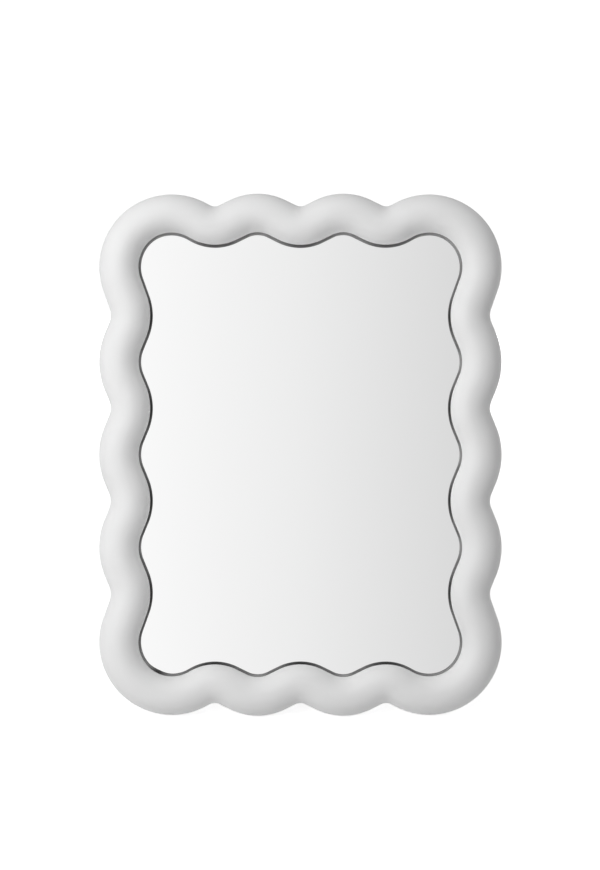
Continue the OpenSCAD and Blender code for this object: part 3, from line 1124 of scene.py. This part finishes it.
@dataclass
class BackHardware:
    """Board, turn buttons, hangers, bumpers and all the screws on the back."""

    face: Face
    frame: TubeFrame
    slip: float = 0.15  # gap between a turn button and the board
    fit: float = 0.05  # clearance under a screw's head
    button_t: float = 1.2
    boss_h: float = 0.6  # height of the boss round a button's hole
    strap_t: float = 1.2
    strap_screw: float = 16.0  # distance of its screw from its top
    strap_len: float = 24.0
    side_pitch: float = 69.2  # distance of the side waves' crests
    screw: HeadShape = HeadShape(radius=3.2, height=1.9, power=4.0, recess=0.55)
    ring_r: float = 9.5  # radius of the wire's line
    wire_r: float = 1.0
    ring_corner: float = 2.2
    bar_steps: int = 8
    bend_steps: int = 10
    round_steps: int = 40
    wire_steps: int = 16

    def land(self) -> Pair:
        """Middle of the flat back beside the board.

        Returns:
            Its distance from the middle of the face, sideways and up.
        """
        line, half = self.frame.line, self.frame.line.tube / 2
        flat = math.sqrt(half * half - self.frame.rise**2)
        rebate_x, rebate_y = (side / 2 + self.frame.glass_play for side in self.frame.glass_size)
        x = (rebate_x + line.level[0] + flat) / 2
        return x, (rebate_y + line.level[1] - line.corner_drop + flat) / 2

    def screws(self) -> None:
        """Makes both groups of pan-head screws."""
        zinc = ZincFinish(
            "zinc_screws", light=(0.62, 0.62, 0.63), dark=(0.42, 0.42, 0.44), rough=(0.2, 0.34)
        )
        material = zinc.material()
        land_x, land_y = self.land()
        corner_x = self.frame.line.corner[0]
        seat = -self.slip - self.button_t - self.boss_h - self.fit
        spots = [(s * corner_x, t * land_y) for s in (-1, 1) for t in (-1, 1)]
        spots += [(s * land_x, 0.0) for s in (-1, 1)]
        heads = [self.screw.build(self.face, x, y, seat) for x, y in spots]
        piece = joined("button_screw_heads", heads)
        place(piece, "mirror", material, "button_screws")
        y, seat = self.side_pitch + self.strap_len / 2 - self.strap_screw, -self.strap_t - self.fit
        heads = [self.screw.build(self.face, s * land_x, y, seat) for s in (-1, 1)]
        piece = joined("hanger_screw_heads", heads)
        place(piece, "mirror", material, "hanger_screws")

    def stamped(self) -> None:
        """Dresses the stamped steel pieces: copies with rounded edges, and the rings."""
        zinc = ZincFinish("zinc_stampings").material()
        for row in ("top", "side", "bottom"):
            for side in Side:
                node = f"turn_button_{row}_{side.word}"
                place(softened(node, node + "_plate", width=0.3), node, zinc, node)
        for side in Side:
            node = f"hanger_strap_{side.word}"
            place(softened(node, node + "_plate", width=0.18), "mirror", zinc, node)
            body, node = f"ring_{side.word}", f"hanger_ring_{side.word}"
            place(self.ring(side), body, zinc, node)

    def bumpers(self) -> None:
        """Dresses the rubber bumpers: copies with rounded edges."""
        rubber = RubberFinish("grey_elastomer", light=0.52, dark=0.46).material()
        for row in ("top", "bottom"):
            for side in Side:
                node = f"wall_bumper_{row}_{side.word}"
                piece = softened(node, node + "_dome", width=0.9, segments=5)
                place(piece, "mirror", rubber, node)

    def wire_line(self) -> tuple[np.ndarray, np.ndarray]:
        """Middle line of a ring's wire, with the bar along the top.

        It runs along the bar, round a corner circle of radius c that touches the bar and the big half
        circle of radius R from inside, so that its middle is ((R - c)^2 - c^2)^0.5 out and c down,
        and round the big circle to the other corner.

        Returns:
            An n by 2 array of places, and the angle of the direction out of the ring at each.
        """
        big, small = self.ring_r, self.ring_corner
        out = math.sqrt((big - small) ** 2 - small**2)
        meet = math.atan2(-small, out)
        bar = np.linspace(-out, out, self.bar_steps)
        bend = np.linspace(np.pi / 2, meet, self.bend_steps)[1:]
        half = np.linspace(meet, -np.pi - meet, self.round_steps)[1:]
        last = np.linspace(-np.pi - meet, -1.5 * np.pi, self.bend_steps)[1:-1]
        angle = np.concatenate([np.full(len(bar), np.pi / 2), bend, half, last])
        middle = np.concatenate([
            np.stack([bar, 0 * bar], axis=1),
            np.stack([out + small * np.cos(bend), small * np.sin(bend) - small], axis=1),
            big * np.stack([np.cos(half), np.sin(half)], axis=1),
            np.stack([small * np.cos(last) - out, small * np.sin(last) - small], axis=1),
        ])
        return middle, angle

    def ring(self, side: Side) -> Piece:
        """Bent-wire D-ring that hangs plumb from its joint's place.

        The wire is a circle carried along its line: the line's place plus the wire's radius times
        cosine along the direction out of the ring, and times sine in depth.

        Args:
            side: which of the two hangers.

        Returns:
            The linked object.
        """
        middle, angle = self.wire_line()
        turn = np.linspace(0.0, 2 * np.pi, self.wire_steps, endpoint=False)
        reach = self.wire_r * np.cos(turn)
        outward = np.stack([np.cos(angle), np.sin(angle)], axis=1)
        flat = middle[:, None] + reach[None, :, None] * outward[:, None]
        depth = np.broadcast_to(self.wire_r * np.sin(turn), flat.shape[:2])
        pivot = np.array(joint_place(f"ring_{side.word}_swing"))
        grid = np.stack([flat[..., 0], depth, flat[..., 1]], axis=-1) * MM + pivot
        faces = grid_faces(*grid.shape[:2], True).tolist()
        return mesh_object(f"hanger_d_ring_{side.word}", grid, faces, smooth_angle=60.0)

    def sheets(self) -> None:
        """Dresses the board and the foam sheet between it and the glass."""
        board = softened("back_board", "flocked_board", width=0.3)
        flock = FlockFinish("dark_flock_board").material()
        place(board, "mirror", flock, "back_board")
        foam = RubberFinish("closed_cell_foam", light=0.14, dark=0.10, rough=0.85).material()
        dressed(FRAME["nodes"]["glass_cushion"], foam)

    def dress(self) -> None:
        """Makes everything on the back."""
        self.screws()
        self.stamped()
        self.bumpers()
        self.sheets()


@dataclass
class EaselStrut:
    """The strut with its hinge, rivets and rubber feet."""

    face: Face
    swing: float = math.radians(9.0)  # back from plumb
    board_t: float = 3.0
    leaf_t: float = 1.0
    front: float = 2.1  # height over the strut's own plane
    thick: float = 4.0
    length: float = 226.04  # from the pin to the ground
    foot_top: float = 212.04  # from the pin to a foot's top
    foot_back: float = -3.4  # height over the strut's own plane
    foot_half: float = 10.5
    foot_middle: float = 28.0  # from the strut's middle
    foot_ease: float = 0.6  # inset of a foot's ends
    foot_corner: float = 1.3
    end_shares: tuple[float, ...] = (0.0, 0.012, 0.03, 0.06)  # shares down a foot where its end is eased
    end_insets: tuple[float, ...] = (1.0, 0.45, 0.12, 0.0)  # share of the inset at each
    grooves: int = 4
    groove: float = 0.35
    groove_span: Pair = (0.1, 0.9)  # shares down a foot between which they lie
    groove_steps: int = 49
    corner_steps: int = 7
    flush_depth: float = 0.8  # of a flush head's seat below the board's far side
    # Each rivet's place across, and its distance from the pin.
    rivet_spots: tuple[Pair, ...] = (
        (-13.0, 12.0),
        (13.0, 12.0),
        (-13.0, 24.0),
        (13.0, 24.0),
    )
    dome: HeadShape = HeadShape(radius=3.0, height=1.0, power=2.0)
    flush: HeadShape = HeadShape(radius=2.95, height=0.75, power=12.0, forward=True)

    def plane(self) -> Face:
        """The strut's own plane through the pin: x across, y up the strut and z towards the mirror."""
        return Face(self.face.pin_world, -self.swing, 0.0, 0.0)

    def rivet_heads(self, plane: Face, middle: float, way: int, leaf: float, far: float) -> list:
        """Heads of one leaf's rivets: a dome on the leaf and a flush head in the board's far side.

        Args:
            plane: plane of the board that the leaf is on.
            middle: place of the pin up that plane.
            way: 1 where the leaf runs up from the pin, and -1 where it runs down.
            leaf: height of the leaf's outer face.
            far: height of the board's far side.

        Returns:
            Points and faces of each head.
        """
        spots = [(x, middle + way * distance) for x, distance in self.rivet_spots]
        heads = [self.dome.build(plane, x, y, leaf) for x, y in spots]
        return heads + [self.flush.build(plane, x, y, far - self.flush_depth) for x, y in spots]

    def rivets(self) -> None:
        """Makes both groups of rivets, on the mirror's board and on the strut's."""
        zinc = ZincFinish(
            "zinc_rivets", light=(0.66, 0.66, 0.67), dark=(0.48, 0.48, 0.50), rough=(0.18, 0.30)
        )
        material = zinc.material()
        heads = self.rivet_heads(self.face, self.face.pin_y, 1, -self.leaf_t, self.board_t)
        piece = joined("board_rivet_heads", heads)
        place(piece, "mirror", material, "board_rivets")
        back = self.front - self.thick - self.leaf_t
        heads = self.rivet_heads(self.plane(), 0.0, -1, back, self.front)
        piece = joined("strut_rivet_heads", heads)
        place(piece, "strut_assembly", material, "strut_rivets")

    def foot(self, side: Side) -> Piece:
        """Moulded rubber sleeve with grip grooves round it and a sole that lies flat on the ground.

        Its section is a rounded rectangle less an inset: the ease at both ends, and between them
        grooves of depth g sin^4(n pi s), with s the share of their span. At share t down the
        sleeve a point lies at (1 - t) top + t sole, where the sole is at -length + z tan(swing).

        Args:
            side: which of the two feet.

        Returns:
            The linked object.
        """
        shares, insets = np.array(self.end_shares), np.array(self.end_insets) * self.foot_ease
        span = np.linspace(*self.groove_span, self.groove_steps)
        t = np.concatenate([shares, span, 1.0 - shares[::-1]])
        turn = np.linspace(0.0, self.grooves * np.pi, self.groove_steps)
        inset = np.concatenate([insets, self.groove * np.sin(turn) ** 4, insets[::-1]])
        width, depth = 2 * self.foot_half, self.front - self.foot_back
        ring = rounded_rings(width, depth, self.foot_corner, inset, self.corner_steps)
        across, out = ring[..., 0], ring[..., 1] + (self.front + self.foot_back) / 2
        sole = out * math.tan(self.swing) - self.length
        down = sole * t[:, None] - self.foot_top * (1 - t)[:, None]
        grid = np.stack([across + side.value * self.foot_middle, down, out], axis=-1)
        points, faces = self.plane().world(grid), capped_faces(*grid.shape[:2])
        return mesh_object(f"strut_foot_sleeve_{side.word}", points, faces, smooth_angle=50.0)

    def dress(self) -> None:
        """Makes the rivets and feet, and dresses copies of the other pieces with rounded edges."""
        zinc = ZincFinish("zinc_hinge", light=(0.50, 0.50, 0.52), dark=(0.29, 0.29, 0.31)).material()
        rubber = RubberFinish("dark_rubber", light=0.042, dark=0.024).material()
        flock = FlockFinish("dark_flock_strut", light=0.095, dark=0.035).material()
        strut = softened("strut", "flocked_strut", width=0.4)
        place(strut, "strut_assembly", flock, "strut")
        for side in Side:
            node = f"strut_foot_{side.word}"
            place(self.foot(side), "strut_assembly", rubber, node)
        for node, body, width in (
            ("hinge_leaf_upper", "mirror", 0.15),
            ("hinge_leaf_lower", "strut_assembly", 0.15),
            ("hinge_pin", "mirror", 0.2),
        ):
            place(softened(node, node + "_shape", width), body, zinc, node)
        self.rivets()


@dataclass(frozen=True)
class Lamp:
    """Soft rectangular lamp, with its power in watts.

    The size and the offset from the face's middle, across, up and out of it, are in metres.
    """

    name: str
    offset: Triple
    size: Pair
    power: float


@dataclass(frozen=True)
class Studio:
    """Plain studio: pale floor, even world, soft lamps in front and above, a low one behind, camera.

    The lamp behind is low so that it lights the back and leaves the frame's top edge, as the camera
    sees it, nearly alone.
    """

    face: Face
    depth: float = 12.0  # height over the face of what is aimed at
    millimetres_per_pixel: float = 0.7450
    picture: tuple[int, int] = (600, 870)  # in pixels
    middle_pixel: Pair = (300.4, 454.6)  # where the face's middle shows
    distance: float = 2.4  # of the camera, in metres
    sensor: float = 36.0
    lamps: tuple[Lamp, ...] = (
        Lamp("key", offset=(-0.624, 0.36, 0.96), size=(0.8, 0.8), power=6.1),
        Lamp("side", offset=(-1.584, 0.27, 0.81), size=(1.2, 1.2), power=5.8),
        Lamp("top", offset=(0.0, 1.28, 0.96), size=(1.0, 1.0), power=4.95),
        Lamp("back", offset=(0.2, 0.24, -1.2), size=(2.2, 0.16), power=7.5),
    )
    world_grey: float = 0.277
    sweep: Pair = (-0.06, 0.94)  # how far right a mirror's ray points at the first and last stop
    # Places between the sweep's ends, each with the grey that the world has there.
    sweep_stops: tuple[Pair, ...] = ((0.0, 1.02), (0.06, 0.883), (0.12, 0.70), (1.0, 0.96))
    floor_reach: float = 8.0  # in metres
    floor_grey: float = 0.74
    floor_glow: Pair = (0.77, 0.88)  # near the mirror and far from it
    glow_reach: Pair = (0.6, 2.0)  # in metres
    rings: int = 12
    spokes: int = 96

    def middle(self) -> Vector:
        """Middle of the face on the tube's middle plane, in the row frame."""
        return Vector(self.face.world(np.array([0.0, 0.0, self.depth])))

    def camera(self) -> None:
        """Looks square at the face, so far away and with such a lens that the picture's scale holds.

        The lens is sensor times distance over the height that the picture shows there. The camera
        stands as far across and up as puts the face's middle on its pixel.
        """
        scale = self.millimetres_per_pixel * MM
        data = bpy.data.cameras.new("camera")
        data.sensor_fit = "AUTO"
        data.sensor_width = self.sensor
        data.lens = self.sensor * self.distance / (self.picture[1] * scale)
        camera = linked("camera", data)
        axes = self.face.axes()
        across = (self.picture[0] / 2 - self.middle_pixel[0]) * scale
        upward = (self.middle_pixel[1] - self.picture[1] / 2) * scale
        centre = self.middle() + Vector(axes[0]) * across + Vector(axes[1]) * upward
        camera.location = centre + self.face.normal() * self.distance
        camera.rotation_mode = "QUATERNION"
        camera.rotation_quaternion = (-self.face.normal()).to_track_quat("-Z", "Y")
        bpy.context.scene.camera = camera

    def floor(self) -> None:
        """A wide pale disc that takes the shadow. The camera and mirrors see it a little brighter.

        Ring i of n lies at reach (i / n)^1.5.
        """
        r = self.floor_reach * (np.arange(self.rings + 1) / self.rings)[1:, None] ** 1.5
        a = np.linspace(0.0, 2 * np.pi, self.spokes, endpoint=False)[None, :]
        points = np.stack([r * np.cos(a), r * np.sin(a), np.zeros_like(r * a)], axis=-1)
        points = np.concatenate([points.reshape(-1, 3), [[0.0, 0.0, 0.0]]])
        disc = mesh_object("floor", points, disc_faces(self.rings, self.spokes))
        if disc.data.polygons[0].normal.z < 0:
            disc.data.flip_normals()
        n = MaterialNodes("pale_floor")
        length = n.add("ShaderNodeVectorMath", operation="LENGTH")
        n.feed(length.inputs[0], n.coordinates.outputs["Object"])
        far = n.ranged(length.outputs["Value"], *self.floor_glow, *self.glow_reach)
        shown = n.seen("Is Camera Ray", "Is Glossy Ray", "Is Transmission Ray")
        n.put(
            n.shader,
            Base_Color=(*grey(self.floor_grey), 1.0),
            Roughness=0.9,
            Specular_IOR_Level=0.1,
            Emission_Color=(*WHITE, 1.0),
            Emission_Strength=n.math("MULTIPLY", shown, far),
        )
        dressed(disc, n.material)

    def world(self) -> None:
        """Even light from all round, plain white to the camera, and a sweep of greys to mirrors.

        A mirror's ray takes its grey from how far right it points. The sweep is white on the left,
        dims quickly just right of straight ahead, and grows lighter again further right.
        """
        world = bpy.data.worlds.new("studio")
        bpy.context.scene.world = world
        world.use_nodes = True
        n = Nodes(world.node_tree)
        split = n.add("ShaderNodeSeparateXYZ")
        n.feed(split.inputs[0], n.coordinates.outputs["Generated"])
        ramp = n.add("ShaderNodeValToRGB")
        n.feed(ramp.inputs[0], n.ranged(split.outputs[0], 0.0, 1.0, *self.sweep))
        stops = ramp.color_ramp.elements
        for spot, _ in self.sweep_stops[1:-1]:
            stops.new(spot)
        for stop, (spot, value) in zip(stops, self.sweep_stops):
            stop.position, stop.color = spot, (*grey(value), 1.0)
        mirror = n.seen("Is Glossy Ray", "Is Transmission Ray")
        mirrored = n.blend(mirror, grey(self.world_grey), ramp.outputs[0])
        shown = n.blend(n.seen("Is Camera Ray"), mirrored, WHITE)
        n.put(world.node_tree.nodes["Background"], Color=shown)

    def hang(self, lamp: Lamp) -> None:
        """Aims a lamp at the face's middle, hidden from the camera and from what mirrors.

        Args:
            lamp: the lamp to hang.
        """
        data = bpy.data.lights.new(lamp.name, "AREA")
        data.shape, data.size, data.size_y, data.energy = "RECTANGLE", *lamp.size, lamp.power
        hung = linked(lamp.name, data)
        hung.visible_glossy = False
        hung.visible_camera = False
        hung.location = self.middle() + Vector(self.face.axes().T @ np.array(lamp.offset))
        hung.rotation_mode = "QUATERNION"
        hung.rotation_quaternion = (self.middle() - hung.location).to_track_quat("-Z", "Y")

    def build(self) -> None:
        """Sets up the plain view, camera, floor, world and lamps."""
        bpy.context.scene.view_settings.view_transform = "Standard"
        self.camera()
        self.floor()
        self.world()
        for lamp in self.lamps:
            self.hang(lamp)


def main() -> None:
    """Builds the mirror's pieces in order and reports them."""
    logging.basicConfig(level=logging.INFO, format="%(name)s: %(message)s")
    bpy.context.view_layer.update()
    face = Face(joint_place("strut_hinge"))
    Studio(face).build()
    frame = TubeFrame(face)
    frame.dress()
    GlassSeal(face, frame).dress()
    MirrorGlass(face, frame).dress()
    BackHardware(face, frame).dress()
    EaselStrut(face).dress()


if __name__ == "__main__":
    main()
